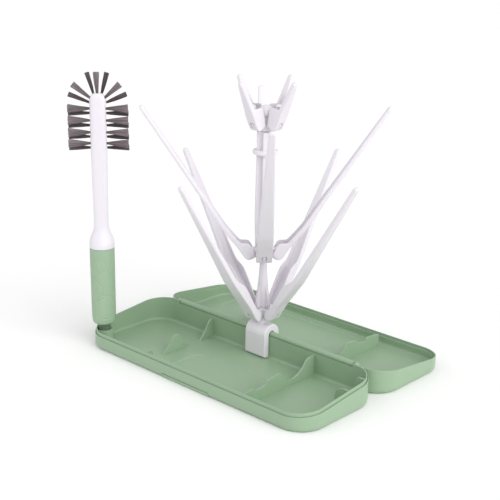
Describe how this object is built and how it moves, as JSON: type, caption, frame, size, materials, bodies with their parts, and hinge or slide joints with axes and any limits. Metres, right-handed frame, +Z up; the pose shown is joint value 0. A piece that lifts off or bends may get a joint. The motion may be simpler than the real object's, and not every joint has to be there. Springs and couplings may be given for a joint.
{
  "type": "bottle drying rack",
  "caption": "Hinged two-tray drip case laid open, with a folding tree of peg arms clipped on its hinge rail and a bottle brush standing in a corner socket.",
  "frame": {"origin": "centre of the front tray's underside, on the table", "axes": "+X along the long side of both trays, towards the small compartments; +Y from the front tray to the rear tray; +Z up"},
  "size_m": [0.2909, 0.2151, 0.2646],
  "materials": {
    "case": "fine satin texture, sage green",
    "grip": "soft matt with an engraved scroll pattern",
    "white": "satin white",
    "pin_steel": "bright drawn wire",
    "bristle_light": "nylon bristle, warm grey",
    "bristle_dark": "nylon bristle, dark grey"
  },
  "bodies": {
    "base": {"base_tray": "case", "hinge_pin_left": "pin_steel", "hinge_pin_right": "pin_steel"},
    "lid": {"lid_tray": "case"},
    "rack": {"rack_clip": "white", "rack_stem": "white", "rack_hub_middle": "white", "rack_pole": "white", "rack_hub_top": "white", "pin_lower_1": "white", "pin_lower_2": "white", "pin_lower_3": "white", "pin_lower_4": "white", "pin_middle_1": "white", "pin_middle_2": "white", "pin_middle_3": "white", "pin_middle_4": "white", "pin_top_1": "white", "pin_top_2": "white", "pin_top_3": "white", "pin_top_4": "white"},
    "brush": {"brush_handle": "white", "brush_grip": "grip", "brush_plug": "grip", "brush_bristles_front": "bristle_light", "brush_bristles_back": "bristle_dark"},
    "arm_lower_1": {"arm_lower_1": "white"},
    "arm_lower_2": {"arm_lower_2": "white"},
    "arm_lower_3": {"arm_lower_3": "white"},
    "arm_lower_4": {"arm_lower_4": "white"},
    "arm_middle_1": {"arm_middle_1": "white"},
    "arm_middle_2": {"arm_middle_2": "white"},
    "arm_middle_3": {"arm_middle_3": "white"},
    "arm_middle_4": {"arm_middle_4": "white"},
    "arm_top_1": {"arm_top_1": "white"},
    "arm_top_2": {"arm_top_2": "white"},
    "arm_top_3": {"arm_top_3": "white"},
    "arm_top_4": {"arm_top_4": "white"}
  },
  "joints": [
    {"name": "lid_hinge", "type": "hinge", "parent": "base", "child": "lid", "pos_m": [0, 0.051, 0.02485], "axis": [1, 0, 0], "range_deg": [0, 50]},
    {"name": "rack_lift", "type": "slide", "parent": "base", "child": "rack", "axis": [0, 0, 1], "range_m": [0, 0.04]},
    {"name": "brush_lift", "type": "slide", "parent": "base", "child": "brush", "axis": [0, 0, 1], "range_m": [0, 0.03]},
    {"name": "fold_lower_1", "type": "hinge", "parent": "rack", "child": "arm_lower_1", "pos_m": [0, 0.0622, 0.0446], "axis": [1, 0, 0], "range_deg": [0, 25]},
    {"name": "fold_lower_2", "type": "hinge", "parent": "rack", "child": "arm_lower_2", "pos_m": [-0.0112, 0.051, 0.0446], "axis": [0, 1, 0], "range_deg": [0, 25]},
    {"name": "fold_lower_3", "type": "hinge", "parent": "rack", "child": "arm_lower_3", "pos_m": [0, 0.0398, 0.0446], "axis": [-1, 0, 0], "range_deg": [0, 25]},
    {"name": "fold_lower_4", "type": "hinge", "parent": "rack", "child": "arm_lower_4", "pos_m": [0.0112, 0.051, 0.0446], "axis": [0, -1, 0], "range_deg": [0, 25]},
    {"name": "fold_middle_1", "type": "hinge", "parent": "rack", "child": "arm_middle_1", "pos_m": [-0.00905, 0.06005, 0.1032], "axis": [0.7071, 0.7071, 0], "range_deg": [0, 32]},
    {"name": "fold_middle_2", "type": "hinge", "parent": "rack", "child": "arm_middle_2", "pos_m": [-0.00905, 0.04195, 0.1032], "axis": [-0.7071, 0.7071, 0], "range_deg": [0, 32]},
    {"name": "fold_middle_3", "type": "hinge", "parent": "rack", "child": "arm_middle_3", "pos_m": [0.00905, 0.04195, 0.1032], "axis": [-0.7071, -0.7071, 0], "range_deg": [0, 32]},
    {"name": "fold_middle_4", "type": "hinge", "parent": "rack", "child": "arm_middle_4", "pos_m": [0.00905, 0.06005, 0.1032], "axis": [0.7071, -0.7071, 0], "range_deg": [0, 32]},
    {"name": "fold_top_1", "type": "hinge", "parent": "rack", "child": "arm_top_1", "pos_m": [0, 0.0622, 0.2244], "axis": [1, 0, 0], "range_deg": [0, 12]},
    {"name": "fold_top_2", "type": "hinge", "parent": "rack", "child": "arm_top_2", "pos_m": [-0.0112, 0.051, 0.2244], "axis": [0, 1, 0], "range_deg": [0, 12]},
    {"name": "fold_top_3", "type": "hinge", "parent": "rack", "child": "arm_top_3", "pos_m": [0, 0.0398, 0.2244], "axis": [-1, 0, 0], "range_deg": [0, 12]},
    {"name": "fold_top_4", "type": "hinge", "parent": "rack", "child": "arm_top_4", "pos_m": [0.0112, 0.051, 0.2244], "axis": [0, -1, 0], "range_deg": [0, 12]}
  ]
}
